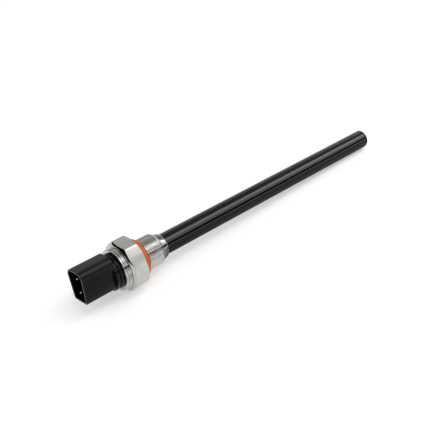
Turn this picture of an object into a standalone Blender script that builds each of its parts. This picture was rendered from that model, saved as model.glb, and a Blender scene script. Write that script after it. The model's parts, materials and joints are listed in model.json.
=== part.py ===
"""Oil level sensor: octagonal screw-in body, crimped plug connector and closed probe tube.

Lengths are metres. The pieces are modelled along the Z axis of one empty, with Z = 0 on the
octagon's bearing face, the tube towards +Z and the connector towards -Z. The empty then lays
the whole sensor down as it rests on a table, with the tube pointing along +X.
"""
import math

import bmesh
import bpy
from mathutils import Vector

MM = 0.001

# Clearance kept between pieces that seat on or in each other
GAP = 0.3 * MM

# Probe tube, measured from the bearing face to the far end of its plug
PROBE_REACH = 260.0 * MM
TUBE_RADIUS = 8.0 * MM
TUBE_WALL = 1.6 * MM
TUBE_FLANGE_LENGTH = 2.0 * MM
TUBE_RING_CORD = 1.8 * MM
PLUG_HEAD = 2.4 * MM
PLUG_SPIGOT = 8.0 * MM
PLUG_CHAMFER = 1.3 * MM

# Octagonal screw-in body
ACROSS_FLATS = 36.0 * MM
FLAT_COUNT = 8
OCTAGON_LENGTH = 12.8 * MM
REAR_CHAMFER_DEPTH = 0.7 * MM
REAR_CHAMFER_ANGLE = math.radians(35.0)
FRONT_CHAMFER_DEPTH = 1.6 * MM
FRONT_CHAMFER_ANGLE = math.radians(30.0)
THREAD_RADIUS = 12.0 * MM
THREAD_LENGTH = 12.7 * MM
THREAD_START_CHAMFER = 1.0 * MM
THREAD_END_CHAMFER = 1.5 * MM
THREAD_END_RADIUS = 10.9 * MM
SEAL_SEAT_RADIUS = 10.4 * MM
LIP_GROOVE_WIDTH = 1.1 * MM
LIP_GROOVE_RADIUS = 9.6 * MM
LIP_LENGTH = 4.4 * MM
LIP_RADIUS = 10.2 * MM
LIP_TAPER = 1.0 * MM
LIP_EDGE = 0.6 * MM
LEDGE_DEPTH = 1.3 * MM
CAVITY_RADIUS = 11.2 * MM

# Crimped collar round the connector's base
COLLAR_WALL = 1.0 * MM
COLLAR_FILLET = 1.0 * MM
BEAD_HEIGHT = 0.6 * MM
BEAD_LENGTH = 1.8 * MM
COLLAR_EDGE = 1.0 * MM
CRIMP_RECESS_DEPTH = 2.7 * MM
CRIMP_LIP = 0.8 * MM
CRIMP_LIP_DEPTH = 0.9 * MM

# Sealing ring under the bearing face
SEAL_RADIUS = 14.6 * MM
SEAL_WIDTH = 4.3 * MM
SEAL_OUTER_EDGE = 1.7 * MM
SEAL_INNER_EDGE = 0.5 * MM

# Stack inside the body: sleeve, board and the connector's base
SLEEVE_LENGTH = 3.9 * MM
SLEEVE_WALL = 0.9 * MM
BOARD_THICKNESS = 1.6 * MM
BASE_SPIGOT_LENGTH = 2.3 * MM
BASE_FLANGE_LENGTH = 1.9 * MM
BASE_RING_CORD = 1.2 * MM

# Plug connector
CONNECTOR_TOP_WIDTH = 19.2 * MM
CONNECTOR_BOTTOM_WIDTH = 15.6 * MM
CONNECTOR_HEIGHT = 24.0 * MM
CONNECTOR_LENGTH = 24.0 * MM
CONNECTOR_UP = 3.1 * MM
CONNECTOR_SIDE = -0.7 * MM
CONNECTOR_TURN = math.radians(8.2)
CONNECTOR_WALL = 1.4 * MM
UPPER_CORNER = 5.5 * MM
LOWER_CORNER = 2.0 * MM
SOCKET_DEPTH = 15.6 * MM
SHOULDER_RING_RADIUS = 12.9 * MM
SHOULDER_GROOVE_RADIUS = 11.6 * MM
OUTER_RING_LENGTH = 1.9 * MM
RING_GROOVE_LENGTH = 1.6 * MM
INNER_RING_LENGTH = 2.0 * MM

# Terminal pins
PIN_RADIUS = 0.75 * MM
PIN_SPACING = 10.8 * MM
PIN_SETBACK = 1.0 * MM
PIN_TIP_LENGTH = 1.2 * MM
PIN_TIP_RADIUS = 0.4 * MM
PIN_TAIL = 0.4 * MM
SOLDER_RADIUS = 1.25 * MM
SOLDER_HEIGHT = 0.8 * MM
SOLDER_TOP_WIDTH = 0.1 * MM
SOLDER_FOOT_HEIGHT = 0.2 * MM

# Inner electrode, its spacers and its contact spring
ELECTRODE_RADIUS = 2.5 * MM
ELECTRODE_TOP_CHAMFER = 0.4 * MM
ELECTRODE_SEAT_DEPTH = 3.0 * MM
SPACER_COUNT = 4
SPACER_LENGTH = 4.0 * MM
SPACER_NOTCH_COUNT = 3
SPACER_NOTCH_RADIUS = 1.9 * MM
SPACER_INSET = 6.0 * MM
SPRING_LENGTH = 9.6 * MM
SPRING_RADIUS = 0.95 * MM
SPRING_WIRE = 0.5 * MM
SPRING_TURNS = 6
SPRING_POINTS_PER_TURN = 12

# Components on the board: length, width, height
CHIP_SIZE = (5.0 * MM, 4.4 * MM, 1.2 * MM)
CHIP_SIDE = 5.4 * MM
CAPACITOR_SIZE = (3.2 * MM, 1.8 * MM, 1.6 * MM)
CAPACITOR_SIDE = -6.0 * MM
CAPACITOR_UP = 2.4 * MM
RESISTOR_SIZE = (1.6 * MM, 3.0 * MM, 0.6 * MM)
RESISTOR_SIDE = 2.2 * MM
RESISTOR_UP = -6.6 * MM
COMPONENT_EDGE = 0.08 * MM

# Facets round a full turn, and points along a short arc
OUTER_STEPS = 64
INNER_STEPS = 48
ARC_POINTS = 5
CORNER_POINTS = 7
RING_POINTS = 10
PIN_STEPS = 16

# How far a cutter or a joined block runs past the surface it meets
OVERRUN = 0.2 * MM
MERGE = 0.00001
SMOOTH_ANGLE = math.radians(32.0)

# Radii, and stations along the axis, that follow from the sizes above
TUBE_BORE = TUBE_RADIUS + GAP
TUBE_INNER = TUBE_RADIUS - TUBE_WALL
INNER_FIT = CAVITY_RADIUS - GAP
CRIMP_RECESS_RADIUS = CAVITY_RADIUS + CRIMP_RECESS_DEPTH
CRIMP_MOUTH_RADIUS = CRIMP_RECESS_RADIUS - CRIMP_LIP_DEPTH
COLLAR_RADIUS = CRIMP_RECESS_RADIUS + COLLAR_WALL
SEAL_START = GAP
THREAD_START = SEAL_START + SEAL_WIDTH + GAP
THREAD_END = THREAD_START + THREAD_LENGTH
LIP_GROOVE_START = THREAD_END + THREAD_END_CHAMFER
LIP_START = LIP_GROOVE_START + LIP_GROOVE_WIDTH
LIP_END = LIP_START + LIP_LENGTH
LEDGE = -LEDGE_DEPTH
TUBE_RING_MIDDLE = LEDGE - GAP - TUBE_RING_CORD / 2
TUBE_FLANGE_END = TUBE_RING_MIDDLE - TUBE_RING_CORD / 2 - GAP
TUBE_FLANGE_START = TUBE_FLANGE_END - TUBE_FLANGE_LENGTH
SLEEVE_END = TUBE_FLANGE_START - GAP
SLEEVE_START = SLEEVE_END - SLEEVE_LENGTH
BOARD_END = SLEEVE_START - GAP
BOARD_START = BOARD_END - BOARD_THICKNESS
BASE_END = BOARD_START - GAP
BASE_FLANGE_END = BASE_END - BASE_SPIGOT_LENGTH
BASE_RING_MIDDLE = BASE_FLANGE_END + GAP + BASE_RING_CORD / 2
CRIMP_SHOULDER = BASE_RING_MIDDLE + BASE_RING_CORD / 2 + GAP
BASE_FLANGE_START = BASE_FLANGE_END - BASE_FLANGE_LENGTH
CRIMP_INSIDE = BASE_FLANGE_START - GAP
BODY_MOUTH = CRIMP_INSIDE - CRIMP_LIP
INNER_RING_END = BODY_MOUTH - GAP
INNER_RING_START = INNER_RING_END - INNER_RING_LENGTH
OUTER_RING_END = INNER_RING_START - RING_GROOVE_LENGTH
OUTER_RING_START = OUTER_RING_END - OUTER_RING_LENGTH
CONNECTOR_RIM = OUTER_RING_START - CONNECTOR_LENGTH
SOCKET_FLOOR = CONNECTOR_RIM + SOCKET_DEPTH
PLUG_SHOULDER = PROBE_REACH - PLUG_HEAD
TUBE_END = PLUG_SHOULDER - GAP
PLUG_START = PLUG_SHOULDER - PLUG_SPIGOT
PLUG_SEAT = PLUG_START + ELECTRODE_SEAT_DEPTH
ELECTRODE_END = PLUG_SEAT - GAP
SPRING_START = BOARD_END + GAP
SPRING_END = SPRING_START + SPRING_LENGTH
ELECTRODE_START = SPRING_END + GAP

# The octagon's rear edge and the plug's lower edge are what the sensor lies on
IN_RADIUS = ACROSS_FLATS / 2
CORNER_RADIUS = IN_RADIUS / math.cos(math.pi / FLAT_COUNT)
BEARING_FACE_RADIUS = IN_RADIUS - REAR_CHAMFER_DEPTH
FRONT_FACE_RADIUS = IN_RADIUS - FRONT_CHAMFER_DEPTH
FLAT_REAR_EDGE = -REAR_CHAMFER_DEPTH * math.tan(REAR_CHAMFER_ANGLE)
PLUG_REST_EDGE = PROBE_REACH - PLUG_CHAMFER
REST_TILT = math.atan((IN_RADIUS - TUBE_RADIUS) / (PLUG_REST_EDGE - FLAT_REAR_EDGE))


def clear_scene():
    for item in list(bpy.data.objects):
        bpy.data.objects.remove(item, do_unlink=True)


def new_collection(name):
    collection = bpy.data.collections.new(name)
    bpy.context.scene.collection.children.link(collection)
    return collection


def new_material(name, colour, roughness, metallic=0.0):
    material = bpy.data.materials.new(name)
    material.use_nodes = True
    shader = material.node_tree.nodes["Principled BSDF"]
    shader.inputs["Base Color"].default_value = (*colour, 1.0)
    shader.inputs["Roughness"].default_value = roughness
    shader.inputs["Metallic"].default_value = metallic
    material.diffuse_color = (*colour, 1.0)
    return material


def section_point(up, side, along=0.0):
    """A point of the lying sensor's cross-section, in the frame of the axis empty."""
    return Vector((-up, side, along))


def arc(centre, radius, start, end, count=ARC_POINTS):
    """Points of a circular arc; angles are degrees anticlockwise from the first axis."""
    points = []
    for index in range(count):
        angle = math.radians(start + (end - start) * index / (count - 1))
        points.append((centre[0] + radius * math.cos(angle), centre[1] + radius * math.sin(angle)))
    return points


class Builder:
    """Adds the sensor's pieces, and the shapes that cut or join them, under one empty."""

    def __init__(self):
        self.parts = new_collection("oil_level_sensor")
        self.tools = new_collection("cutters")
        self.root = bpy.data.objects.new("sensor_axis", None)
        self.parts.objects.link(self.root)
        self.root.rotation_euler = (0.0, math.pi / 2 + REST_TILT, 0.0)

    def add(self, name, data, material=None, location=(0.0, 0.0, 0.0)):
        """A piece of the sensor, or without a material a hidden cutter."""
        item = bpy.data.objects.new(name, data)
        item.parent = self.root
        item.location = location
        if material is None:
            self.tools.objects.link(item)
            item.hide_render = True
            item.display_type = 'WIRE'
        else:
            self.parts.objects.link(item)
            data.materials.clear()
            data.materials.append(material)
        return item

    def turned(self, name, profile, material=None, steps=OUTER_STEPS, closed=False, location=(0.0, 0.0, 0.0)):
        """A turned piece: (radius, station) points that run down the outer side."""
        mesh = bpy.data.meshes.new(name)
        edges = [(index, index + 1) for index in range(len(profile) - 1)]
        if closed:
            edges.append((len(profile) - 1, 0))
        mesh.from_pydata([(radius, 0.0, along) for radius, along in profile], edges, [])
        item = self.add(name, mesh, material, location)
        screw = item.modifiers.new("Turn", 'SCREW')
        screw.axis = 'Z'
        screw.angle = math.tau
        screw.steps = steps
        screw.render_steps = steps
        screw.use_merge_vertices = True
        screw.merge_threshold = MERGE
        screw.use_smooth_shade = False
        return item

    def ring(self, name, radius, cord, middle, material):
        """An O-ring, turned from a round section."""
        section = arc((radius, middle), cord / 2, 90.0, -270.0, RING_POINTS + 1)[:-1]
        return self.turned(name, section, material, INNER_STEPS, closed=True)

    def rod(self, name, radius, start, end, material=None, location=(0.0, 0.0, 0.0), steps=PIN_STEPS):
        """A plain cylinder or prism between two stations."""
        mesh = bpy.data.meshes.new(name)
        build = bmesh.new()
        bmesh.ops.create_cone(
            build, cap_ends=True, segments=steps, radius1=radius, radius2=radius, depth=end - start)
        bmesh.ops.translate(build, verts=build.verts, vec=(0.0, 0.0, (start + end) / 2))
        build.to_mesh(mesh)
        build.free()
        return self.add(name, mesh, material, location)

    def extruded(self, name, outline, start, end, material=None):
        """A flat outline of (up, side) points, extruded between two stations."""
        curve = bpy.data.curves.new(name, 'CURVE')
        curve.dimensions = '2D'
        curve.fill_mode = 'BOTH'
        curve.extrude = (end - start) / 2
        spline = curve.splines.new('POLY')
        spline.points.add(len(outline) - 1)
        spline.use_cyclic_u = True
        for point, (up, side) in zip(spline.points, outline):
            point.co = (*section_point(up, side), 1.0)
        flat = bpy.data.objects.new(name + "_outline", curve)
        bpy.context.scene.collection.objects.link(flat)
        bpy.context.view_layer.update()
        depsgraph = bpy.context.evaluated_depsgraph_get()
        mesh = bpy.data.meshes.new_from_object(flat.evaluated_get(depsgraph))
        bpy.data.objects.remove(flat, do_unlink=True)
        mesh.name = name
        build = bmesh.new()
        build.from_mesh(mesh)
        bmesh.ops.remove_doubles(build, verts=build.verts, dist=MERGE)
        bmesh.ops.recalc_face_normals(build, faces=build.faces)
        bmesh.ops.translate(build, verts=build.verts, vec=(0.0, 0.0, (start + end) / 2))
        build.to_mesh(mesh)
        build.free()
        return self.add(name, mesh, material)

    def block(self, name, size, middle, material):
        """A small box with bevelled edges, centred on a point of the axis frame."""
        mesh = bpy.data.meshes.new(name)
        build = bmesh.new()
        bmesh.ops.create_cube(build, size=1.0)
        bmesh.ops.scale(build, verts=build.verts, vec=size)
        build.to_mesh(mesh)
        build.free()
        item = self.add(name, mesh, material, middle)
        bevel = item.modifiers.new("Edges", 'BEVEL')
        bevel.width = COMPONENT_EDGE
        bevel.segments = 1
        return item


def combine(item, tool, operation):
    step = item.modifiers.new(tool.name, 'BOOLEAN')
    step.operation = operation
    step.solver = 'EXACT'
    step.object = tool


def make_threaded_body(builder, material):
    """One turned piece: lip, threaded spigot, octagon and crimped collar."""
    turn_radius = CORNER_RADIUS + OVERRUN
    rear_run = (turn_radius - BEARING_FACE_RADIUS) * math.tan(REAR_CHAMFER_ANGLE)
    front_run = (turn_radius - FRONT_FACE_RADIUS) * math.tan(FRONT_CHAMFER_ANGLE)
    front_face = -OCTAGON_LENGTH
    lip = [
        (TUBE_BORE, LIP_END),
        *arc((LIP_RADIUS - LIP_TAPER - LIP_EDGE, LIP_END - LIP_EDGE), LIP_EDGE, 90.0, 0.0),
        (LIP_RADIUS, LIP_START),
        (LIP_GROOVE_RADIUS, LIP_START),
        (LIP_GROOVE_RADIUS, LIP_GROOVE_START),
    ]
    spigot = [
        (THREAD_END_RADIUS, LIP_GROOVE_START),
        (THREAD_RADIUS, THREAD_END),
        (THREAD_RADIUS, THREAD_START + THREAD_START_CHAMFER),
        (SEAL_SEAT_RADIUS, THREAD_START),
        (SEAL_SEAT_RADIUS, 0.0),
    ]
    octagon = [
        (BEARING_FACE_RADIUS, 0.0),
        (turn_radius, -rear_run),
        (turn_radius, front_face + front_run),
        (FRONT_FACE_RADIUS, front_face),
    ]
    fillet_centre = (COLLAR_RADIUS + COLLAR_FILLET, front_face - COLLAR_FILLET)
    bead_end = front_face - COLLAR_FILLET - BEAD_LENGTH
    bead_sweep = math.degrees(2 * math.atan(2 * BEAD_HEIGHT / BEAD_LENGTH))
    bead_radius = BEAD_LENGTH / 2 / math.sin(math.radians(bead_sweep))
    bead_centre = (COLLAR_RADIUS + BEAD_HEIGHT - bead_radius, bead_end + BEAD_LENGTH / 2)
    edge_centre = (COLLAR_RADIUS + BEAD_HEIGHT - COLLAR_EDGE, BODY_MOUTH + COLLAR_EDGE)
    collar = [
        *arc(fillet_centre, COLLAR_FILLET, 90.0, 180.0),
        *arc(bead_centre, bead_radius, bead_sweep, -bead_sweep, CORNER_POINTS)[1:],
        *arc(edge_centre, COLLAR_EDGE, 25.0, -90.0, CORNER_POINTS),
    ]
    inside = [
        (CRIMP_MOUTH_RADIUS, BODY_MOUTH),
        (CRIMP_MOUTH_RADIUS, CRIMP_INSIDE),
        (CRIMP_RECESS_RADIUS, CRIMP_INSIDE),
        (CRIMP_RECESS_RADIUS, CRIMP_SHOULDER),
        (CAVITY_RADIUS, CRIMP_SHOULDER),
        (CAVITY_RADIUS, LEDGE),
        (TUBE_BORE, LEDGE),
    ]
    body = builder.turned("threaded_body", lip + spigot + octagon + collar + inside, material, closed=True)
    flats = builder.rod(
        "octagon_flats", CORNER_RADIUS, BODY_MOUTH - OVERRUN, LIP_END + OVERRUN, steps=FLAT_COUNT)
    flats.rotation_euler.z = math.pi / FLAT_COUNT
    combine(body, flats, 'INTERSECT')
    return body


def make_sealing_ring(builder, material):
    """A moulded ring with well rounded outer edges, seated on the spigot's neck."""
    inner = SEAL_SEAT_RADIUS + GAP
    end = SEAL_START + SEAL_WIDTH
    outer_edge = SEAL_RADIUS - SEAL_OUTER_EDGE
    inner_edge = inner + SEAL_INNER_EDGE
    section = [
        *arc((outer_edge, end - SEAL_OUTER_EDGE), SEAL_OUTER_EDGE, 90.0, 0.0),
        *arc((outer_edge, SEAL_START + SEAL_OUTER_EDGE), SEAL_OUTER_EDGE, 0.0, -90.0),
        *arc((inner_edge, SEAL_START + SEAL_INNER_EDGE), SEAL_INNER_EDGE, -90.0, -180.0, 3),
        *arc((inner_edge, end - SEAL_INNER_EDGE), SEAL_INNER_EDGE, 180.0, 90.0, 3),
    ]
    return builder.turned("sealing_ring", section, material, closed=True)


def connector_place(height, width):
    """A point of the connector's own section, given from its centre, as (up, side)."""
    up = CONNECTOR_UP + height * math.cos(CONNECTOR_TURN) - width * math.sin(CONNECTOR_TURN)
    side = CONNECTOR_SIDE + height * math.sin(CONNECTOR_TURN) + width * math.cos(CONNECTOR_TURN)
    return up, side


def rounded_section(inset):
    """The connector's section, wider at the top: large upper corners, small lower corners."""
    lean = math.atan2((CONNECTOR_TOP_WIDTH - CONNECTOR_BOTTOM_WIDTH) / 2, CONNECTOR_HEIGHT)
    half_height = CONNECTOR_HEIGHT / 2 - inset
    middle = (CONNECTOR_TOP_WIDTH + CONNECTOR_BOTTOM_WIDTH) / 4 - inset / math.cos(lean)
    upper = max(UPPER_CORNER - inset, MERGE)
    lower = max(LOWER_CORNER - inset, MERGE)
    slant = math.degrees(lean)
    outline = []
    for radius, height, sweep, count in (
            (upper, half_height - upper, (0.0, 90.0 + slant), CORNER_POINTS),
            (lower, lower - half_height, (90.0 + slant, 180.0), ARC_POINTS)):
        width = middle + height * math.tan(lean) - radius / math.cos(lean)
        outline += arc((height, width), radius, *sweep, count)
    mirrored = [(height, -width) for height, width in reversed(outline)]
    return [connector_place(height, width) for height, width in outline + mirrored]


def pin_places():
    """Where each terminal pin crosses the section, as (up, side)."""
    return [connector_place(sign * PIN_SPACING / 2, 0.0) for sign in (-1, 1)]


def make_connector_housing(builder, material):
    """One moulding: plug socket, two shoulder rings and the round base that is crimped in."""
    housing = builder.extruded(
        "connector_housing", rounded_section(0.0), CONNECTOR_RIM, OUTER_RING_START + OVERRUN, material)
    shoulder = builder.turned("shoulder_rings", [
        (0.0, INNER_RING_END),
        (SHOULDER_RING_RADIUS, INNER_RING_END),
        (SHOULDER_RING_RADIUS, INNER_RING_START),
        (SHOULDER_GROOVE_RADIUS, INNER_RING_START),
        (SHOULDER_GROOVE_RADIUS, OUTER_RING_END),
        (SHOULDER_RING_RADIUS, OUTER_RING_END),
        (SHOULDER_RING_RADIUS, OUTER_RING_START),
        (0.0, OUTER_RING_START),
    ])
    base = builder.turned("crimped_base", [
        (0.0, BASE_END),
        (INNER_FIT, BASE_END),
        (INNER_FIT, BASE_FLANGE_END),
        (CRIMP_RECESS_RADIUS - GAP, BASE_FLANGE_END),
        (CRIMP_RECESS_RADIUS - GAP, BASE_FLANGE_START),
        (CRIMP_MOUTH_RADIUS - GAP, BASE_FLANGE_START),
        (CRIMP_MOUTH_RADIUS - GAP, INNER_RING_END - OVERRUN),
        (0.0, INNER_RING_END - OVERRUN),
    ])
    socket = builder.extruded(
        "socket_cavity", rounded_section(CONNECTOR_WALL), CONNECTOR_RIM - OVERRUN, SOCKET_FLOOR)
    combine(housing, shoulder, 'UNION')
    combine(housing, base, 'UNION')
    combine(housing, socket, 'DIFFERENCE')
    for number, place in enumerate(pin_places(), 1):
        hole = builder.rod(
            f"pin_passage_{number}", PIN_RADIUS + GAP, SOCKET_FLOOR - OVERRUN, BASE_END + OVERRUN,
            location=section_point(*place))
        combine(housing, hole, 'DIFFERENCE')
    return housing


def make_terminal_pins(builder, material):
    start = CONNECTOR_RIM + PIN_SETBACK
    end = BOARD_END + GAP + SOLDER_HEIGHT + PIN_TAIL
    profile = [
        (0.0, end),
        (PIN_RADIUS, end),
        (PIN_RADIUS, start + PIN_TIP_LENGTH),
        (PIN_TIP_RADIUS, start),
        (0.0, start),
    ]
    for number, place in enumerate(pin_places(), 1):
        builder.turned(
            f"terminal_pin_{number}", profile, material, PIN_STEPS, location=section_point(*place))


def make_solder_joints(builder, material):
    inner = PIN_RADIUS + GAP
    start = BOARD_END + GAP
    profile = [
        (inner, start + SOLDER_HEIGHT),
        (inner + SOLDER_TOP_WIDTH, start + SOLDER_HEIGHT),
        (SOLDER_RADIUS, start + SOLDER_FOOT_HEIGHT),
        (SOLDER_RADIUS, start),
        (inner, start),
    ]
    for number, place in enumerate(pin_places(), 1):
        builder.turned(
            f"solder_joint_{number}", profile, material, PIN_STEPS, closed=True,
            location=section_point(*place))


def make_circuit_board(builder, material):
    board = builder.rod("circuit_board", INNER_FIT, BOARD_START, BOARD_END, material, steps=INNER_STEPS)
    for number, place in enumerate(pin_places(), 1):
        hole = builder.rod(
            f"board_hole_{number}", PIN_RADIUS + GAP, BOARD_START - OVERRUN, BOARD_END + OVERRUN,
            location=section_point(*place))
        combine(board, hole, 'DIFFERENCE')
    return board


def make_components(builder, chip_material, capacitor_material, resistor_material):
    """The parts soldered on the side of the board that faces the tube."""
    def on_board(size, up, side):
        return section_point(up, side, BOARD_END + GAP + size[2] / 2)

    builder.block("signal_chip", CHIP_SIZE, on_board(CHIP_SIZE, 0.0, CHIP_SIDE), chip_material)
    for number, up in enumerate((CAPACITOR_UP, -CAPACITOR_UP), 1):
        builder.block(
            f"capacitor_{number}", CAPACITOR_SIZE, on_board(CAPACITOR_SIZE, up, CAPACITOR_SIDE),
            capacitor_material)
    for number, side in enumerate((-RESISTOR_SIDE, RESISTOR_SIDE), 1):
        builder.block(
            f"resistor_{number}", RESISTOR_SIZE, on_board(RESISTOR_SIZE, RESISTOR_UP, side),
            resistor_material)


def make_support_sleeve(builder, material):
    """The spacer that carries the board on the tube's flange."""
    inner = INNER_FIT - SLEEVE_WALL
    return builder.turned("support_sleeve", [
        (inner, SLEEVE_END),
        (INNER_FIT, SLEEVE_END),
        (INNER_FIT, SLEEVE_START),
        (inner, SLEEVE_START),
    ], material, INNER_STEPS, closed=True)


def make_probe_tube(builder, material):
    """The long tube, with the flange that hangs it on the body's ledge."""
    return builder.turned("probe_tube", [
        (TUBE_INNER, TUBE_END),
        (TUBE_RADIUS, TUBE_END),
        (TUBE_RADIUS, TUBE_FLANGE_END),
        (INNER_FIT, TUBE_FLANGE_END),
        (INNER_FIT, TUBE_FLANGE_START),
        (TUBE_INNER, TUBE_FLANGE_START),
    ], material, closed=True)


def make_tube_end_plug(builder, material):
    """Closes the tube and centres the electrode's far end."""
    spigot = TUBE_INNER - GAP
    seat = ELECTRODE_RADIUS + GAP
    return builder.turned("tube_end_plug", [
        (0.0, PROBE_REACH),
        (TUBE_RADIUS - PLUG_CHAMFER, PROBE_REACH),
        (TUBE_RADIUS, PROBE_REACH - PLUG_CHAMFER),
        (TUBE_RADIUS, PLUG_SHOULDER),
        (spigot, PLUG_SHOULDER),
        (spigot, PLUG_START),
        (seat, PLUG_START),
        (seat, PLUG_SEAT),
        (0.0, PLUG_SEAT),
    ], material)


def make_electrode(builder, material):
    return builder.turned("electrode_rod", [
        (0.0, ELECTRODE_END),
        (ELECTRODE_RADIUS, ELECTRODE_END),
        (ELECTRODE_RADIUS, ELECTRODE_START + ELECTRODE_TOP_CHAMFER),
        (ELECTRODE_RADIUS - ELECTRODE_TOP_CHAMFER, ELECTRODE_START),
        (0.0, ELECTRODE_START),
    ], material, INNER_STEPS)


def make_electrode_spacers(builder, material):
    """Notched discs that centre the electrode in the tube."""
    outer = TUBE_INNER - GAP
    half = SPACER_LENGTH / 2
    profile = [
        (ELECTRODE_RADIUS + GAP, half),
        (outer, half),
        (outer, -half),
        (ELECTRODE_RADIUS + GAP, -half),
    ]
    first = ELECTRODE_START + SPACER_INSET + half
    last = PLUG_START - SPACER_INSET - half
    for number in range(SPACER_COUNT):
        station = first + (last - first) * number / (SPACER_COUNT - 1)
        spacer = builder.turned(
            f"electrode_spacer_{number + 1}", profile, material, INNER_STEPS, closed=True,
            location=(0.0, 0.0, station))
        for notch in range(SPACER_NOTCH_COUNT):
            angle = math.tau * notch / SPACER_NOTCH_COUNT
            place = (outer * math.cos(angle), outer * math.sin(angle), station)
            cutter = builder.rod(
                f"spacer_notch_{number + 1}_{notch + 1}", SPACER_NOTCH_RADIUS, -half - OVERRUN,
                half + OVERRUN, location=place)
            combine(spacer, cutter, 'DIFFERENCE')


def make_contact_spring(builder, material):
    """The coil that joins the electrode to the middle of the board."""
    curve = bpy.data.curves.new("contact_spring", 'CURVE')
    curve.dimensions = '3D'
    curve.bevel_depth = SPRING_WIRE / 2
    curve.bevel_resolution = 2
    curve.use_fill_caps = True
    count = SPRING_TURNS * SPRING_POINTS_PER_TURN + 1
    spline = curve.splines.new('POLY')
    spline.points.add(count - 1)
    first = SPRING_START + SPRING_WIRE / 2
    last = SPRING_END - SPRING_WIRE / 2
    for index, point in enumerate(spline.points):
        share = index / (count - 1)
        angle = math.tau * SPRING_TURNS * share
        along = first + (last - first) * share
        point.co = (SPRING_RADIUS * math.cos(angle), SPRING_RADIUS * math.sin(angle), along, 1.0)
    return builder.add("contact_spring", curve, material)


def shade_round_pieces(builder):
    """Smooth shading with sharp creases on the pieces that are meshes."""
    for item in builder.parts.objects:
        if item.type == 'MESH':
            item.data.shade_smooth()
            item.data.set_sharp_from_angle(angle=SMOOTH_ANGLE)


def rest_on_floor(builder):
    """Moves the empty so that the sensor's box stands centred on the origin."""
    bpy.context.view_layer.update()
    depsgraph = bpy.context.evaluated_depsgraph_get()
    corners = []
    for item in builder.parts.objects:
        if item.type == 'EMPTY':
            continue
        evaluated = item.evaluated_get(depsgraph)
        mesh = evaluated.to_mesh()
        corners += [evaluated.matrix_world @ vertex.co for vertex in mesh.vertices]
        evaluated.to_mesh_clear()
    low = [min(corner[axis] for corner in corners) for axis in range(3)]
    high = [max(corner[axis] for corner in corners) for axis in range(3)]
    builder.root.location = (-(low[0] + high[0]) / 2, -(low[1] + high[1]) / 2, -low[2])
    bpy.context.view_layer.update()


def main():
    clear_scene()
    builder = Builder()
    nickel = new_material("nickel_plated_steel", (0.66, 0.66, 0.63), 0.28, 1.0)
    seal_rubber = new_material("orange_seal_rubber", (0.62, 0.12, 0.03), 0.42)
    housing_plastic = new_material("black_connector_plastic", (0.018, 0.018, 0.021), 0.38)
    tube_plastic = new_material("black_tube_plastic", (0.016, 0.017, 0.02), 0.3)
    pin_metal = new_material("tinned_pin_metal", (0.72, 0.71, 0.68), 0.25, 1.0)
    solder = new_material("solder", (0.6, 0.6, 0.6), 0.35, 1.0)
    ring_rubber = new_material("black_ring_rubber", (0.02, 0.02, 0.02), 0.6)
    board = new_material("green_circuit_board", (0.03, 0.16, 0.06), 0.45)
    chip = new_material("chip_epoxy", (0.02, 0.02, 0.02), 0.5)
    capacitor = new_material("capacitor_ceramic", (0.45, 0.33, 0.2), 0.5)
    resistor = new_material("resistor_ceramic", (0.05, 0.05, 0.06), 0.5)
    inner_plastic = new_material("white_inner_plastic", (0.75, 0.74, 0.7), 0.5)
    electrode_steel = new_material("electrode_steel", (0.6, 0.6, 0.6), 0.3, 1.0)
    spring_steel = new_material("spring_steel", (0.55, 0.55, 0.56), 0.3, 1.0)
    make_threaded_body(builder, nickel)
    make_sealing_ring(builder, seal_rubber)
    make_connector_housing(builder, housing_plastic)
    make_terminal_pins(builder, pin_metal)
    make_solder_joints(builder, solder)
    make_circuit_board(builder, board)
    make_components(builder, chip, capacitor, resistor)
    make_support_sleeve(builder, inner_plastic)
    base_ring_radius = (INNER_FIT + CRIMP_RECESS_RADIUS) / 2
    builder.ring("connector_o_ring", base_ring_radius, BASE_RING_CORD, BASE_RING_MIDDLE, ring_rubber)
    tube_ring_radius = (TUBE_RADIUS + CAVITY_RADIUS) / 2
    builder.ring("tube_o_ring", tube_ring_radius, TUBE_RING_CORD, TUBE_RING_MIDDLE, ring_rubber)
    make_probe_tube(builder, tube_plastic)
    make_tube_end_plug(builder, tube_plastic)
    make_electrode(builder, electrode_steel)
    make_electrode_spacers(builder, inner_plastic)
    make_contact_spring(builder, spring_steel)
    shade_round_pieces(builder)
    rest_on_floor(builder)


main()
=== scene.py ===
"""Looks of the oil level sensor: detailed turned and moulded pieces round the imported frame.

The pieces are drawn in millimetres in the frame of the sensor's own axis: local Z is the station
along the axis, 0 on the bearing face and positive towards the probe's end, local -X is up and
local +Y is sideways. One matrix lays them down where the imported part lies.
"""

import json
import math

import bpy
from mathutils import Euler, Matrix, Vector


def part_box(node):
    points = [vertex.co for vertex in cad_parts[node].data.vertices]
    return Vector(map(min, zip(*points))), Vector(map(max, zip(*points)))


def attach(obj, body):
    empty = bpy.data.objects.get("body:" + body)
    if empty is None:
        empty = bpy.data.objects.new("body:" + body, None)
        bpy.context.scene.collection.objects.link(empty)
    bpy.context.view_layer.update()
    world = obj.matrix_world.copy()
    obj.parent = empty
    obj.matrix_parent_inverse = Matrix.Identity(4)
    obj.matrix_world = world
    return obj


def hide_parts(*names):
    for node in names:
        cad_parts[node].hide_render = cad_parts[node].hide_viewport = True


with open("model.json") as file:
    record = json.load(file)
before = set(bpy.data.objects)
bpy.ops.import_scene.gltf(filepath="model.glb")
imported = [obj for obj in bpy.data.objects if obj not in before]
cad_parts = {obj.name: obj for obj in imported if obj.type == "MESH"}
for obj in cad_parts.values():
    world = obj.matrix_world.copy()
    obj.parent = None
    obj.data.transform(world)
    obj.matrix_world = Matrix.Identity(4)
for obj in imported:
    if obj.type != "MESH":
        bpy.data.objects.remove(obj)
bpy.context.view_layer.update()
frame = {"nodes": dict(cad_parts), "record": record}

MM = 0.001

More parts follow.
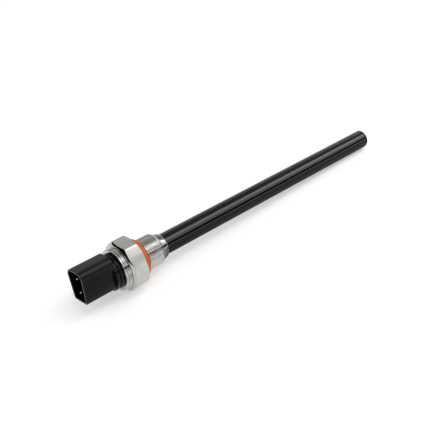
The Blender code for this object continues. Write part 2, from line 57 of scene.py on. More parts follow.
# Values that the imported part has: radii and stations in millimetres, and angles

# Threaded body
FLAT_DISTANCE = 18.0
FLAT_COUNT = 8
BEARING_FACE_RADIUS = 17.3
REAR_CHAMFER_ANGLE = math.radians(35.0)
FLAT_REAR_EDGE = -(FLAT_DISTANCE - BEARING_FACE_RADIUS) * math.tan(REAR_CHAMFER_ANGLE)
FRONT_FACE = -12.8
FRONT_FACE_RADIUS = 16.4
FRONT_CHAMFER_ANGLE = math.radians(30.0)
SEAL_SEAT_RADIUS = 10.4
THREAD_START = 4.9
THREAD_END = 17.6
THREAD_RADIUS = 12.0
THREAD_END_RADIUS = 10.9
LIP_GROOVE_START = 19.1
LIP_GROOVE_RADIUS = 9.6
LIP_START = 20.2
LIP_END = 24.6
LIP_RADIUS = 10.2
BORE_RADIUS = 8.3
LEDGE = -1.3
CAVITY_RADIUS = 11.2

# Crimped collar
COLLAR_RADIUS = 14.9
COLLAR_FILLET = 1.0
CRIMP_SHOULDER = -12.6
CRIMP_INSIDE = -16.6
CRIMP_RECESS_RADIUS = 13.9
CRIMP_MOUTH_RADIUS = 13.0
BODY_MOUTH = -17.4

# Sealing ring
SEAL_RADIUS = 14.6
SEAL_START = 0.3
SEAL_END = 4.6

# Connector
BASE_END = -12.1
BASE_END_RADIUS = 10.9
BASE_FLANGE_END = -14.4
BASE_FLANGE_START = -16.3
BASE_FLANGE_RADIUS = 13.6
BASE_RADIUS = 12.7
SHOULDER_END = -17.7
RING_GROOVE_END = -19.7
RING_GROOVE_START = -21.3
SHOULDER_START = -23.2
SHOULDER_RING_RADIUS = 12.9
SHOULDER_GROOVE_RADIUS = 11.6
CONNECTOR_TOP_WIDTH = 19.2
CONNECTOR_BOTTOM_WIDTH = 15.6
CONNECTOR_HEIGHT = 24.0
CONNECTOR_UP = 3.1
CONNECTOR_SIDE = -0.7
CONNECTOR_TURN = math.radians(8.2)
CONNECTOR_WALL = 1.4
CONNECTOR_RIM = -47.2
UPPER_CORNER = 5.5
LOWER_CORNER = 2.0
SOCKET_FLOOR = -31.6
PIN_SPACING = 10.8
PIN_RADIUS = 0.75
PIN_TIP = -46.2
PIN_TAPER_END = -45.0
PIN_TAIL_END = -8.7

# Probe
TUBE_RADIUS = 8.0
TUBE_INNER = 6.4
TUBE_END = 257.3
TUBE_FLANGE_RADIUS = 10.9
TUBE_FLANGE_START = -5.7
TUBE_FLANGE_END = -3.7
PROBE_REACH = 260.0
PLUG_EDGE = 258.7
PLUG_SHOULDER = 257.6
PLUG_START = 249.6
PLUG_SEAT = 252.6
PLUG_FACE_RADIUS = 6.7
PLUG_SPIGOT_RADIUS = 6.1
PLUG_SEAT_RADIUS = 2.8

REST_TILT = math.atan((FLAT_DISTANCE - TUBE_RADIUS) / (PLUG_EDGE - FLAT_REAR_EDGE))


def axis_matrix():
    """From the axis frame in millimetres to the row frame in metres."""
    turn = Matrix.Rotation(math.pi / 2 + REST_TILT, 4, 'Y')
    low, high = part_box("sealing_ring")
    ring_middle = turn @ Vector((0.0, 0.0, (SEAL_START + SEAL_END) / 2 * MM))
    place = (low + high) / 2 - ring_middle
    return Matrix.Translation(place) @ turn @ Matrix.Scale(MM, 4)


AXIS = axis_matrix()


# Outlines

LONGEST_ROUNDING = 0.48


def rounded(profile, steps=3, closed=True):
    """Rounds a profile's corners; each is (x, y, how far the rounding reaches along its sides)."""
    count = len(profile)
    result = []
    for index, (x, y, reach) in enumerate(profile):
        here = Vector((x, y))
        if reach <= 0.0 or (not closed and index in (0, count - 1)):
            result.append(tuple(here))
            continue
        before = Vector(profile[index - 1][:2])
        after = Vector(profile[(index + 1) % count][:2])
        back = min(reach, (before - here).length * LONGEST_ROUNDING)
        ahead = min(reach, (after - here).length * LONGEST_ROUNDING)
        first = here + (before - here).normalized() * back
        last = here + (after - here).normalized() * ahead
        for step in range(steps + 1):
            share = step / steps
            result.append(tuple(
                first * (1 - share) ** 2 + here * 2 * share * (1 - share) + last * share ** 2))
    return result


def arc(centre, radius, start, end, count):
    """Points of an arc between two angles in degrees."""
    points = []
    for index in range(count):
        angle = math.radians(start + (end - start) * index / (count - 1))
        points.append((centre[0] + radius * math.cos(angle), centre[1] + radius * math.sin(angle)))
    return points


# Meshes

def skin(name, rings, around_rings=False, caps=False):
    """A mesh through rings of points, which joins the last ring to the first or caps both ends."""
    count = len(rings[0])
    vertices = [point for ring in rings for point in ring]
    faces = []
    last_ring = len(rings) if around_rings else len(rings) - 1
    for row in range(last_ring):
        base = row * count
        following = (row + 1) % len(rings) * count
        for index in range(count):
            right = (index + 1) % count
            faces.append((base + index, base + right, following + right, following + index))
    if caps:
        faces.append(tuple(reversed(range(count))))
        faces.append(tuple(range((len(rings) - 1) * count, len(rings) * count)))
    mesh = bpy.data.meshes.new(name)
    mesh.from_pydata(vertices, [], faces)
    mesh.update()
    return mesh


def facing_out(mesh):
    """Turns the faces over if the closed mesh has its faces pointing in."""
    mesh.calc_loop_triangles()
    volume = 0.0
    for triangle in mesh.loop_triangles:
        a, b, c = (mesh.vertices[index].co for index in triangle.vertices)
        volume += a.dot(b.cross(c))
    if volume < 0.0:
        mesh.flip_normals()


def piece(name, mesh, material, replaced=(), smooth_angle=40.0):
    """A finished piece of the sensor, placed by the axis matrix."""
    facing_out(mesh)
    mesh.shade_smooth()
    mesh.set_sharp_from_angle(angle=math.radians(smooth_angle))
    mesh.materials.append(material)
    item = bpy.data.objects.new(name, mesh)
    bpy.context.scene.collection.objects.link(item)
    item.matrix_world = AXIS
    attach(item, "root")
    if replaced:
        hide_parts(*replaced)


def turned_mesh(name, section, steps, offset=(0.0, 0.0), closed=True):
    """A turned mesh: (radius, station) points; closed joins the section's ends."""
    rings = []
    for radius, station in section:
        ring = []
        for index in range(steps):
            angle = math.tau * index / steps
            ring.append((
                radius * math.cos(angle) - offset[0], radius * math.sin(angle) + offset[1], station))
        rings.append(ring)
    return skin(name, rings, around_rings=closed, caps=not closed)


# Materials

RAMP_LOW = 0.3
RAMP_HIGH = 0.7
BUMP_STRENGTH = 0.5
METAL_GRAIN = 0.002


def set_stops(ramp, stops):
    """Sets a colour ramp's stops, each a position and a colour."""
    elements = ramp.color_ramp.elements
    while len(elements) < len(stops):
        elements.new(0.5)
    for element, (position, colour) in zip(elements, stops):
        element.position = position
        element.color = (*colour, 1.0)


class Nodes:
    """Short calls for building one material's node tree, placed by the object's own coordinates."""

    def __init__(self, name):
        self.material = bpy.data.materials.new(name)
        self.material.use_nodes = True
        self.tree = self.material.node_tree
        self.shader = self.tree.nodes["Principled BSDF"]
        self.place = self.add("ShaderNodeTexCoord").outputs["Object"]

    def add(self, kind, **settings):
        node = self.tree.nodes.new(kind)
        for key, value in settings.items():
            setattr(node, key, value)
        return node

    def link(self, source, target):
        self.tree.links.new(source, target)

    def stretched(self, scale):
        mapping = self.add("ShaderNodeMapping")
        mapping.inputs["Scale"].default_value = scale
        self.link(self.place, mapping.inputs["Vector"])
        return mapping.outputs["Vector"]

    def noise(self, scale, detail=3.0, stretch=None):
        node = self.add("ShaderNodeTexNoise")
        node.inputs["Scale"].default_value = scale
        node.inputs["Detail"].default_value = detail
        self.link(self.stretched(stretch) if stretch else self.place, node.inputs["Vector"])
        return node.outputs["Fac"]

    def spread(self, source, low, high, from_low=RAMP_LOW, from_high=RAMP_HIGH):
        node = self.add("ShaderNodeMapRange")
        node.inputs["From Min"].default_value = from_low
        node.inputs["From Max"].default_value = from_high
        node.inputs["To Min"].default_value = low
        node.inputs["To Max"].default_value = high
        self.link(source, node.inputs["Value"])
        return node.outputs["Result"]

    def between(self, source, dark, light):
        node = self.add("ShaderNodeValToRGB")
        set_stops(node, [(RAMP_LOW, dark), (RAMP_HIGH, light)])
        self.link(source, node.inputs["Fac"])
        return node.outputs["Color"]

    def bump(self, source, depth, base=None):
        """A bump whose depth is in millimetres."""
        node = self.add("ShaderNodeBump")
        node.inputs["Strength"].default_value = BUMP_STRENGTH
        node.inputs["Distance"].default_value = depth * MM
        self.link(source, node.inputs["Height"])
        if base is not None:
            self.link(base, node.inputs["Normal"])
        return node.outputs["Normal"]

    def finish(self, colour, roughness, normal=None, **constants):
        self.link(colour, self.shader.inputs["Base Color"])
        self.link(roughness, self.shader.inputs["Roughness"])
        if normal is not None:
            self.link(normal, self.shader.inputs["Normal"])
        for key, value in constants.items():
            self.shader.inputs[key.replace("_", " ")].default_value = value
        return self.material


def metal(name, dark, light, rough_low, rough_high, unit=1.0):
    """Plated steel with faint cloudiness and fine turning marks; unit is the size of 1 mm."""
    nodes = Nodes(name)
    clouds = nodes.noise(scale=0.18 / unit, detail=4.0)
    lines = nodes.noise(scale=1.0 / unit, detail=2.0, stretch=(0.25, 0.25, 9.0))
    grain = nodes.noise(scale=5.0 / unit, detail=2.0)
    colour = nodes.between(clouds, dark, light)
    roughness = nodes.spread(clouds, rough_low, rough_high)
    normal = nodes.bump(lines, METAL_GRAIN)
    normal = nodes.bump(grain, METAL_GRAIN / 2, normal)
    return nodes.finish(colour, roughness, normal, Metallic=1.0)


def plastic(name, dark, light, rough_low, rough_high, unit=1.0, grain_size=3.0, depth=0.01, specular=0.5):
    """Moulded plastic with a fine grain and a slight change of gloss."""
    nodes = Nodes(name)
    clouds = nodes.noise(scale=0.12 / unit, detail=4.0)
    grain = nodes.noise(scale=grain_size / unit)
    colour = nodes.between(clouds, dark, light)
    roughness = nodes.spread(clouds, rough_low, rough_high)
    return nodes.finish(colour, roughness, nodes.bump(grain, depth), Specular_IOR_Level=specular)


NICKEL = metal("nickel_plate", (0.46, 0.458, 0.443), (0.53, 0.528, 0.51), 0.09, 0.15)
PIN_TIN = metal("tinned_pin", (0.7, 0.69, 0.66), (0.8, 0.79, 0.76), 0.15, 0.25)
SEAL_RUBBER = plastic(
    "orange_rubber", (0.60, 0.108, 0.014), (0.68, 0.128, 0.02), 0.3, 0.38,
    grain_size=2.5, depth=0.004, specular=0.3)
CONNECTOR_PLASTIC = plastic(
    "black_connector", (0.0025, 0.0025, 0.0032), (0.004, 0.004, 0.005), 0.15, 0.21,
    grain_size=4.0, depth=0.004, specular=0.25)
TUBE_PLASTIC = plastic(
    "black_tube", (0.0015, 0.0017, 0.0022), (0.0025, 0.0028, 0.0035), 0.12, 0.17,
    grain_size=2.0, depth=0.002, specular=0.62)


# Threaded body and seal; each profile lists its corners as (radius, station, rounding)

THREAD_PITCH = 1.0
THREAD_DEPTH = 0.24
THREAD_CREST = 0.55
THREAD_FLANK = 0.3
THREAD_START_SLOPE = 1.6
THREAD_END_SLOPE = 0.73
THREAD_ROWS = 120
OCTANT_STEPS = 40
CORNER_CROWDING = 1.6
CORNER_ROUNDING = 0.5
FLAT_CROWN = 0.2
EDGE_ROUNDING = 0.25
FLAT_EDGE_ROUNDING = 0.22

LIP_END_RADIUS = 9.15
LIP_GROOVE_SLOPE = 0.1
BEAD_FOOT_RADIUS = 15.0
BEAD_RADIUS = 15.5
BEAD_GROOVE_RADIUS = 14.75
LAST_BEAD_RADIUS = 15.45
MOUTH_MIDDLE_RADIUS = 13.5
SEAL_INNER_RADIUS = 10.7

LIP_PROFILE = (
    (BORE_RADIUS, LIP_END, 0.0),
    (LIP_END_RADIUS, LIP_END, 0.8),
    (LIP_RADIUS, LIP_START, 0.25),
    (LIP_GROOVE_RADIUS, LIP_START, 0.15),
    (LIP_GROOVE_RADIUS, LIP_GROOVE_START + LIP_GROOVE_SLOPE, 0.2),
    (THREAD_END_RADIUS, LIP_GROOVE_START, 0.0))
COLLAR_PROFILE = (
    (COLLAR_RADIUS, FRONT_FACE - COLLAR_FILLET, 0.0),
    (BEAD_FOOT_RADIUS, -14.1, 0.12),
    (BEAD_RADIUS, -14.4, 0.25),
    (BEAD_RADIUS, -15.3, 0.25),
    (BEAD_GROOVE_RADIUS, -15.7, 0.1),
    (LAST_BEAD_RADIUS, -16.05, 0.2),
    (LAST_BEAD_RADIUS, -17.0, 0.35),
    (BEAD_FOOT_RADIUS, BODY_MOUTH, 0.4),
    (MOUTH_MIDDLE_RADIUS, BODY_MOUTH, 0.0))
INSIDE_PROFILE = (
    (MOUTH_MIDDLE_RADIUS, BODY_MOUTH, 0.0),
    (CRIMP_MOUTH_RADIUS, BODY_MOUTH, 0.2),
    (CRIMP_MOUTH_RADIUS, CRIMP_INSIDE, 0.1),
    (CRIMP_RECESS_RADIUS, CRIMP_INSIDE, 0.1),
    (CRIMP_RECESS_RADIUS, CRIMP_SHOULDER, 0.1),
    (CAVITY_RADIUS, CRIMP_SHOULDER, 0.1),
    (CAVITY_RADIUS, LEDGE, 0.1),
    (BORE_RADIUS, LEDGE, 0.2),
    (BORE_RADIUS, LIP_END, 0.0))
SEAL_PROFILE = (
    (SEAL_INNER_RADIUS, SEAL_END, 0.6),
    (SEAL_RADIUS, SEAL_END, 2.4),
    (SEAL_RADIUS, SEAL_START, 2.0),
    (SEAL_INNER_RADIUS, SEAL_START, 0.6))


def flat_radius(angle):
    """Distance from the axis to the octagon's surface: flats with a slight crown, rounded corners."""
    half = math.pi / FLAT_COUNT
    turn = (angle + half) % (2 * half) - half
    corner = (FLAT_DISTANCE - CORNER_ROUNDING) / math.cos(half)
    away = half - abs(turn)
    crown = FLAT_CROWN * (math.tan(turn) / math.tan(half)) ** 2
    straight = FLAT_DISTANCE / math.cos(turn)
    inside = CORNER_ROUNDING ** 2 - (corner * math.sin(away)) ** 2
    if inside <= 0.0 or corner * math.cos(away) + math.sqrt(inside) > straight:
        return straight - crown
    return corner * math.cos(away) + math.sqrt(inside) - crown


def octagon_angles():
    """Angles round the octagon, denser at its corners."""
    half = math.pi / FLAT_COUNT
    angles = []
    for side in range(FLAT_COUNT):
        for step in range(OCTANT_STEPS):
            share = 2 * step / OCTANT_STEPS - 1
            crowded = 1 - (1 - abs(share)) ** CORNER_CROWDING
            angles.append(2 * half * side + half * math.copysign(crowded, share))
    return angles


def thread_radius(angle, station):
    """The fine thread's surface, which rises from the seal's seat and ends in a chamfer."""
    turn = (station / THREAD_PITCH - angle / math.tau) % 1.0
    flank = min(max((abs(turn - 0.5) * 2 - THREAD_CREST) / THREAD_FLANK, 0.0), 1.0)
    depth = THREAD_DEPTH * flank
    start = SEAL_SEAT_RADIUS + (station - THREAD_START) * THREAD_START_SLOPE
    end = THREAD_RADIUS - max(station - THREAD_END, 0.0) * THREAD_END_SLOPE
    return min(THREAD_RADIUS - depth, start, end)


def octagon_section(flat):
    """From the seal's seat over the bearing face, a flat and its two chamfers to the collar."""
    rear_edge = -(flat - BEARING_FACE_RADIUS) * math.tan(REAR_CHAMFER_ANGLE)
    front_edge = FRONT_FACE + (flat - FRONT_FACE_RADIUS) * math.tan(FRONT_CHAMFER_ANGLE)
    return rounded(
        [(SEAL_SEAT_RADIUS, THREAD_START, 0.0), (SEAL_SEAT_RADIUS, 0.0, EDGE_ROUNDING),
         (BEARING_FACE_RADIUS, 0.0, EDGE_ROUNDING), (flat, rear_edge, FLAT_EDGE_ROUNDING),
         (flat, front_edge, FLAT_EDGE_ROUNDING), (FRONT_FACE_RADIUS, FRONT_FACE, EDGE_ROUNDING),
         (COLLAR_RADIUS + COLLAR_FILLET, FRONT_FACE, 0.0)],
        closed=False)


def body_section(angle):
    """The body's closed section at one angle, run down the outside and back up the bore."""
    lip = rounded(LIP_PROFILE, closed=False)
    thread = []
    for row in range(THREAD_ROWS + 1):
        station = LIP_GROOVE_START + (THREAD_START - LIP_GROOVE_START) * row / THREAD_ROWS
        thread.append((thread_radius(angle, station), station))
    octagon = octagon_section(flat_radius(angle))
    fillet_centre = (COLLAR_RADIUS + COLLAR_FILLET, FRONT_FACE - COLLAR_FILLET)
    fillet = arc(fillet_centre, COLLAR_FILLET, 90.0, 180.0, count=8)
    collar = rounded(COLLAR_PROFILE, steps=5, closed=False)
    inside = rounded(INSIDE_PROFILE, closed=False)
    return lip + thread + octagon[1:] + fillet[1:] + collar[1:] + inside[1:-1]


def make_threaded_body():
    columns = []
    for angle in octagon_angles():
        columns.append([
            (radius * math.cos(angle), radius * math.sin(angle), station)
            for radius, station in body_section(angle)])
    mesh = skin("threaded_body_detail", columns, around_rings=True)
    piece(
        "threaded_body_detail", mesh, NICKEL, ["threaded_body"], smooth_angle=50.0)


def make_sealing_ring():
    mesh = turned_mesh("sealing_ring_detail", rounded(SEAL_PROFILE, steps=8), steps=160)
    piece("sealing_ring_detail", mesh, SEAL_RUBBER, ["sealing_ring"])


# Connector

SHELL_END = -22.2
BASE_START = -17.9
BASE_ROUNDING = 0.15
SHOULDER_INNER_RADIUS = 6.0
SMALLEST_CORNER = 0.4
FLOOR_MARGIN = 2.0
PIN_TIP_RADIUS = 0.45
MIDDLE_HOLE = 0.02

# Corners of the socket's wall as (inset from the outer surface, station, rounding)
SOCKET_PATH = (
    (0.0, SHELL_END, 0.0),
    (0.0, CONNECTOR_RIM, 0.45),
    (CONNECTOR_WALL, CONNECTOR_RIM, 0.35),
    (CONNECTOR_WALL, SOCKET_FLOOR, 0.8),
    (CONNECTOR_WALL + FLOOR_MARGIN, SOCKET_FLOOR, 0.0))

# Corners as (radius, station, rounding)
SHOULDER_PROFILE = (
    (SHOULDER_INNER_RADIUS, SHOULDER_START, 0.2),
    (SHOULDER_RING_RADIUS, SHOULDER_START, 0.6),
    (SHOULDER_RING_RADIUS, RING_GROOVE_START, 0.5),
    (SHOULDER_GROOVE_RADIUS, RING_GROOVE_START, 0.2),
    (SHOULDER_GROOVE_RADIUS, RING_GROOVE_END, 0.2),
    (SHOULDER_RING_RADIUS, RING_GROOVE_END, 0.5),
    (SHOULDER_RING_RADIUS, SHOULDER_END, 0.3),
    (SHOULDER_INNER_RADIUS, SHOULDER_END, 0.2))
BASE_PROFILE = (
    (SHOULDER_INNER_RADIUS, BASE_START, BASE_ROUNDING),
    (BASE_RADIUS, BASE_START, BASE_ROUNDING),
    (BASE_RADIUS, BASE_FLANGE_START, BASE_ROUNDING),
    (BASE_FLANGE_RADIUS, BASE_FLANGE_START, BASE_ROUNDING),
    (BASE_FLANGE_RADIUS, BASE_FLANGE_END, BASE_ROUNDING),
    (BASE_END_RADIUS, BASE_FLANGE_END, BASE_ROUNDING),
    (BASE_END_RADIUS, BASE_END, BASE_ROUNDING),
    (SHOULDER_INNER_RADIUS, BASE_END, BASE_ROUNDING))
PIN_PROFILE = (
    (MIDDLE_HOLE, PIN_TIP, 0.0),
    (PIN_TIP_RADIUS, PIN_TIP, 0.3),
    (PIN_RADIUS, PIN_TAPER_END, 0.4),
    (PIN_RADIUS, PIN_TAIL_END, 0.1),
    (MIDDLE_HOLE, PIN_TAIL_END, 0.0))


def connector_place(height, width):
    """A point of the connector's own section, given from its centre, as (up, side)."""
    up = CONNECTOR_UP + height * math.cos(CONNECTOR_TURN) - width * math.sin(CONNECTOR_TURN)
    side = CONNECTOR_SIDE + height * math.sin(CONNECTOR_TURN) + width * math.cos(CONNECTOR_TURN)
    return up, side


def connector_ring(inset, station):
    """One ring of the connector's section, wider at the top, inset from its outer surface."""
    lean = math.atan2((CONNECTOR_TOP_WIDTH - CONNECTOR_BOTTOM_WIDTH) / 2, CONNECTOR_HEIGHT)
    half_height = CONNECTOR_HEIGHT / 2 - inset
    middle = (CONNECTOR_TOP_WIDTH + CONNECTOR_BOTTOM_WIDTH) / 4 - inset / math.cos(lean)
    top = max(UPPER_CORNER - inset, SMALLEST_CORNER)
    bottom = max(LOWER_CORNER - inset, SMALLEST_CORNER)
    slant = math.degrees(lean)
    outline = []
    for radius, height, start, end, count in (
            (top, half_height - top, 0.0, 90.0 + slant, 16),
            (bottom, bottom - half_height, 90.0 + slant, 180.0, 8)):
        width = middle + height * math.tan(lean) - radius / math.cos(lean)
        outline += arc((height, width), radius, start, end, count)
    outline += [(height, -width) for height, width in reversed(outline)]
    places = [connector_place(height, width) for height, width in outline]
    return [(-up, side, station) for up, side in places]


def make_connector():
    """The plug socket: outer wall, rounded rim, inner wall and floor, as one closed skin."""
    path = rounded(SOCKET_PATH, steps=4, closed=False)
    rings = [connector_ring(inset, station) for inset, station in path]
    mesh = skin("connector_shell", rings, caps=True)
    piece("connector_shell", mesh, CONNECTOR_PLASTIC, ["connector_housing"])


def make_connector_shoulder():
    """The two flange rings with the groove between them."""
    mesh = turned_mesh("connector_shoulder", rounded(SHOULDER_PROFILE, steps=4), steps=128)
    piece("connector_shoulder", mesh, CONNECTOR_PLASTIC)


def make_connector_base():
    """The round base that the metal collar is rolled over."""
    mesh = turned_mesh("connector_base", rounded(BASE_PROFILE), steps=96)
    piece("connector_base", mesh, CONNECTOR_PLASTIC)


def make_pins():
    section = rounded(PIN_PROFILE, closed=False)
    for number, sign in ((1, -1), (2, 1)):
        place = connector_place(sign * PIN_SPACING / 2, 0.0)
        mesh = turned_mesh(f"pin_{number}", section, steps=32, offset=place, closed=False)
        piece(f"pin_{number}_detail", mesh, PIN_TIN, [f"terminal_pin_{number}"])


# Probe

TUBE_PROFILE = (
    (TUBE_INNER, TUBE_END, 0.1),
    (TUBE_RADIUS, TUBE_END, 0.12),
    (TUBE_RADIUS, TUBE_FLANGE_END, 0.1),
    (TUBE_FLANGE_RADIUS, TUBE_FLANGE_END, 0.1),
    (TUBE_FLANGE_RADIUS, TUBE_FLANGE_START, 0.1),
    (TUBE_INNER, TUBE_FLANGE_START, 0.1))
PLUG_PROFILE = (
    (MIDDLE_HOLE, PROBE_REACH, 0.0),
    (PLUG_FACE_RADIUS, PROBE_REACH, 0.6),
    (TUBE_RADIUS, PLUG_EDGE, 0.6),
    (TUBE_RADIUS, PLUG_SHOULDER, 0.08),
    (PLUG_SPIGOT_RADIUS, PLUG_SHOULDER, 0.1),
    (PLUG_SPIGOT_RADIUS, PLUG_START, 0.2),
    (PLUG_SEAT_RADIUS, PLUG_START, 0.1),
    (PLUG_SEAT_RADIUS, PLUG_SEAT, 0.1),
    (MIDDLE_HOLE, PLUG_SEAT, 0.0))


def make_tube():
    """The long tube with its inner flange, and the plug that closes its far end."""
    tube = turned_mesh("probe_tube_detail", rounded(TUBE_PROFILE), steps=128)
    piece("probe_tube_detail", tube, TUBE_PLASTIC, ["probe_tube"])
    section = rounded(PLUG_PROFILE, steps=5, closed=False)
    plug = turned_mesh("tube_end_plug_detail", section, steps=128, closed=False)
    piece("tube_end_plug_detail", plug, TUBE_PLASTIC, ["tube_end_plug"])


# Inner nodes

def dress_inner_nodes():
    """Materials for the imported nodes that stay, whose unit is the metre."""
    finishes = {
        "black_ring_rubber": plastic(
            "ring_rubber", (0.015, 0.015, 0.015), (0.03, 0.03, 0.03), 0.5, 0.7, unit=MM),
        "green_circuit_board": plastic(
            "solder_mask", (0.015, 0.10, 0.035), (0.03, 0.16, 0.06), 0.3, 0.45, unit=MM, grain_size=1.5),
        "chip_epoxy": plastic("epoxy", (0.015, 0.015, 0.015), (0.03, 0.03, 0.03), 0.45, 0.6, unit=MM),
        "capacitor_ceramic": plastic(
            "tan_ceramic", (0.36, 0.25, 0.14), (0.5, 0.37, 0.22), 0.4, 0.55, unit=MM),
        "resistor_ceramic": plastic(
            "dark_ceramic", (0.03, 0.03, 0.04), (0.06, 0.06, 0.08), 0.4, 0.55, unit=MM),
        "white_inner_plastic": plastic(
            "natural_plastic", (0.66, 0.65, 0.6), (0.78, 0.77, 0.72), 0.4, 0.55, unit=MM),
        "solder": metal("solder_metal", (0.5, 0.5, 0.5), (0.64, 0.64, 0.63), 0.3, 0.45, unit=MM),
        "electrode_steel": metal(
            "drawn_steel", (0.52, 0.52, 0.51), (0.62, 0.62, 0.61), 0.22, 0.34, unit=MM),
        "spring_steel": metal("spring_wire", (0.5, 0.5, 0.51), (0.6, 0.6, 0.61), 0.22, 0.34, unit=MM),
    }
    for entry in frame["record"]["subparts"]:
        finish = finishes.get(entry["material_slot"])
        if finish is not None:
            node = frame["nodes"][entry["node"]]
            node.data.materials.clear()
            node.data.materials.append(finish)


# Table and walls; lengths in metres

TABLE_HALF = 6.0
TABLE_TOP = -0.0002
TABLE_GREY = 0.86
LIFT_NEAR = 0.34
LIFT_FAR = 0.5
LIFT_START = 0.3
LIFT_END = 1.0
WALL_GREYS = ((0.0, 0.78), (0.3, 0.72), (0.6, 0.66), (1.0, 0.54))


def background_ray(nodes):
    """1 for the rays of the camera and of mirror and glass surfaces, 0 for the others."""
    path = nodes.add("ShaderNodeLightPath")
    seen = path.outputs["Is Camera Ray"]
    for other in ("Is Glossy Ray", "Is Transmission Ray"):
        either = nodes.add("ShaderNodeMath", operation='MAXIMUM')
        nodes.link(seen, either.inputs[0])
        nodes.link(path.outputs[other], either.inputs[1])
        seen = either.outputs[0]
    return seen


def table_material():
    """Pale matt, a little lighter as a background, and more so away from the sensor."""
    nodes = Nodes("table_white")
    nodes.tree.nodes.remove(nodes.shader)
    diffuse = nodes.add("ShaderNodeBsdfDiffuse")
    diffuse.inputs["Color"].default_value = (TABLE_GREY, TABLE_GREY, TABLE_GREY, 1.0)
    glow = nodes.add("ShaderNodeEmission")
    glow.inputs["Color"].default_value = (1.0, 1.0, 1.0, 1.0)
    away = nodes.add("ShaderNodeVectorMath", operation='LENGTH')
    nodes.link(nodes.place, away.inputs[0])
    lift = nodes.add("ShaderNodeMath", operation='MULTIPLY')
    nodes.link(background_ray(nodes), lift.inputs[0])
    nodes.link(
        nodes.spread(away.outputs["Value"], LIFT_NEAR, LIFT_FAR, LIFT_START, LIFT_END), lift.inputs[1])
    nodes.link(lift.outputs[0], glow.inputs["Strength"])
    both = nodes.add("ShaderNodeAddShader")
    nodes.link(diffuse.outputs[0], both.inputs[0])
    nodes.link(glow.outputs[0], both.inputs[1])
    nodes.link(both.outputs[0], nodes.tree.nodes["Material Output"].inputs["Surface"])
    return nodes.material


def stage_sheet(name, corners, material):
    """One flat four-cornered piece of the studio."""
    mesh = bpy.data.meshes.new(name)
    mesh.from_pydata(corners, [], [(0, 1, 2, 3)])
    mesh.materials.append(material)
    sheet = bpy.data.objects.new(name, mesh)
    bpy.context.scene.collection.objects.link(sheet)
    return sheet


def make_table():
    corners = [
        (-TABLE_HALF, -TABLE_HALF, TABLE_TOP), (TABLE_HALF, -TABLE_HALF, TABLE_TOP),
        (TABLE_HALF, TABLE_HALF, TABLE_TOP), (-TABLE_HALF, TABLE_HALF, TABLE_TOP)]
    stage_sheet("table", corners, table_material())


def make_world():
    """Light grey studio walls, palest near the horizon."""
    world = bpy.data.worlds.new("studio")
    bpy.context.scene.world = world
    world.use_nodes = True
    tree = world.node_tree
    background = tree.nodes["Background"]
    place = tree.nodes.new("ShaderNodeTexCoord")
    split = tree.nodes.new("ShaderNodeSeparateXYZ")
    ramp = tree.nodes.new("ShaderNodeValToRGB")
    tree.links.new(place.outputs["Generated"], split.inputs[0])
    tree.links.new(split.outputs["Z"], ramp.inputs["Fac"])
    tree.links.new(ramp.outputs["Color"], background.inputs["Color"])
    set_stops(ramp, [(height, (grey, grey, grey)) for height, grey in WALL_GREYS])
    background.inputs["Strength"].default_value = 1.0


# Softbox: a long one above the front, as strips of (name, lower and upper angle, level)

SOFTBOX_DISTANCE = 0.8
SOFTBOX_LEFT = -0.26
SOFTBOX_RIGHT = 1.7
SOFTBOX_AIM_HEIGHT = 0.01
SOFTBOX_STRIPS = (
    ("lowest", 31.0, 40.0, 0.75),
    ("low", 40.0, 50.0, 0.25),
    ("middle", 50.0, 58.0, 0.6),
    ("high", 58.0, 78.0, 1.85),
    ("top", 78.0, 88.0, 0.9))


def make_strip(name, start, end, level):
    """One strip of the softbox, parallel to the sensor and facing it."""
    lower, upper = math.radians(start), math.radians(end)
    middle = (lower + upper) / 2
    width = SOFTBOX_RIGHT - SOFTBOX_LEFT
    height = 2 * SOFTBOX_DISTANCE * math.tan((upper - lower) / 2)
    light = bpy.data.lights.new(name, 'AREA')
    light.shape = 'RECTANGLE'
    light.size = width
    light.size_y = height
    light.energy = level * math.pi * width * height
    item = bpy.data.objects.new(name, light)
    bpy.context.scene.collection.objects.link(item)
    across = Vector((1.0, 0.0, 0.0))
    towards = Vector((0.0, -math.cos(middle), math.sin(middle)))
    aim = Vector(((SOFTBOX_LEFT + SOFTBOX_RIGHT) / 2, 0.0, SOFTBOX_AIM_HEIGHT))
    item.location = towards * SOFTBOX_DISTANCE + aim
    item.rotation_mode = 'QUATERNION'
    item.rotation_quaternion = Matrix((across, towards.cross(across), towards)).transposed().to_quaternion()


def make_softbox():
    for name, start, end, level in SOFTBOX_STRIPS:
        make_strip(f"softbox_{name}", start, end, level)


# Cards round the sensor, which only reflections show; lengths in metres

CARD_UNEVENNESS = 0.1
BLACK = 0.006
DARK_GREY = 0.3
GREY = 0.4
PALE_GREY = 0.6

# Upright cards: name, place of both ends, heights of both edges as angles from the sensor, shade
CARD_DISTANCE = 0.7
FRONT = -CARD_DISTANCE
BACK = CARD_DISTANCE
LEFT = -0.75
UPRIGHT_CARDS = (
    ("front_left", (LEFT, FRONT), (0.285, FRONT), 20.0, 31.0, BLACK),
    ("front_middle", (0.285, FRONT), (0.375, FRONT), 22.0, 30.0, PALE_GREY),
    ("front_right", (0.375, FRONT), (2.2, FRONT), 3.0, 31.0, BLACK),
    ("left", (LEFT, BACK), (LEFT, FRONT), 0.0, 68.0, BLACK),
    ("back_left", (-0.2, BACK), (LEFT, BACK), 0.0, 30.0, BLACK),
    ("back_right", (1.3, BACK), (0.45, BACK), 0.0, 28.0, GREY))

# Cards on the table, which paint the sensor's shade on the table into the reflections on the tube and
# connector: name, both ends as stations in millimetres, far edge, shade
CARD_HEIGHT = 0.001
CARD_NEAR_EDGE = -0.16
CARD_SLANT = 0.5
TABLE_CARDS = (
    ("tube", 21.0, 330.0, 0.012, DARK_GREY),
    ("connector", -80.0, -28.0, -0.028, PALE_GREY))

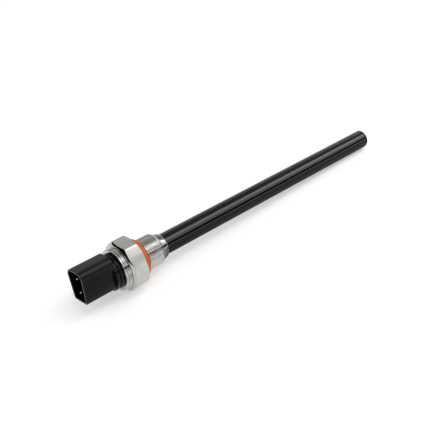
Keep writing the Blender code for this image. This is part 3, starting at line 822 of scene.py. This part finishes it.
OVERHEAD_CORNERS = ((0.37, -0.05, 0.7), (1.5, -0.05, 0.7), (1.5, 0.9, 0.7), (0.6, 0.9, 0.7))


def make_card(name, corners, shade):
    """A matt card that only reflections show: a painted reflection, which casts no shadow and passes no
    light on.
    """
    nodes = Nodes(f"card_{name}")
    dark = shade * (1 - CARD_UNEVENNESS)
    light = shade * (1 + CARD_UNEVENNESS)
    colour = nodes.between(nodes.noise(scale=2.0), (dark, dark, dark), (light, light, light))
    roughness = nodes.spread(nodes.noise(scale=3.0), 0.9, 1.0)
    nodes.finish(colour, roughness, Specular_IOR_Level=0.0)
    card = stage_sheet(f"card_{name}", corners, nodes.material)
    card.visible_camera = False
    card.visible_diffuse = False
    card.visible_shadow = False
    card.visible_transmission = False


def make_cards():
    """Upright cards on three sides, and grey ones on the table and above the tube."""
    for name, first, last, low_angle, high_angle, shade in UPRIGHT_CARDS:
        low = CARD_DISTANCE * math.tan(math.radians(low_angle))
        high = CARD_DISTANCE * math.tan(math.radians(high_angle))
        make_card(name, [(*first, low), (*last, low), (*last, high), (*first, high)], shade)
    for name, start, end, far_edge, shade in TABLE_CARDS:
        corners = []
        for station, side in (
                (start, CARD_NEAR_EDGE), (end, CARD_NEAR_EDGE), (end, far_edge), (start, far_edge)):
            along = AXIS.translation.x + station * MM - CARD_SLANT * side
            corners.append((along, side, CARD_HEIGHT))
        make_card(name, corners, shade)
    make_card("overhead", OVERHEAD_CORNERS, DARK_GREY)


# Camera: its place as (station, side, up) in millimetres, and its turns about them in degrees

CAMERA_LENS = 56.054
CAMERA_SENSOR = 36.0
CAMERA_PLACE = (-215.35, -334.98, 278.96)
CAMERA_TURNS = (57.52632, 2.47096, -43.25928)
FROM_STATION_SIDE_UP = Matrix(((0.0, 0.0, -1.0), (0.0, 1.0, 0.0), (1.0, 0.0, 0.0)))


def make_camera():
    """The photograph's view, laid down with the sensor's axis."""
    camera = bpy.data.cameras.new("photo_camera")
    camera.sensor_width = CAMERA_SENSOR
    camera.lens = CAMERA_LENS
    camera.clip_start = 0.01
    camera.clip_end = 50.0
    item = bpy.data.objects.new("photo_camera", camera)
    bpy.context.scene.collection.objects.link(item)
    turns = Euler([math.radians(turn) for turn in CAMERA_TURNS]).to_matrix()
    view = AXIS.to_3x3().normalized() @ FROM_STATION_SIDE_UP @ turns
    item.rotation_mode = 'QUATERNION'
    item.rotation_quaternion = view.to_quaternion()
    item.location = AXIS @ (FROM_STATION_SIDE_UP @ Vector(CAMERA_PLACE))
    bpy.context.scene.camera = item


make_threaded_body()
make_sealing_ring()
make_connector()
make_connector_shoulder()
make_connector_base()
make_pins()
make_tube()
dress_inner_nodes()
make_table()
make_world()
make_softbox()
make_cards()
make_camera()
bpy.context.scene.view_settings.view_transform = 'Standard'
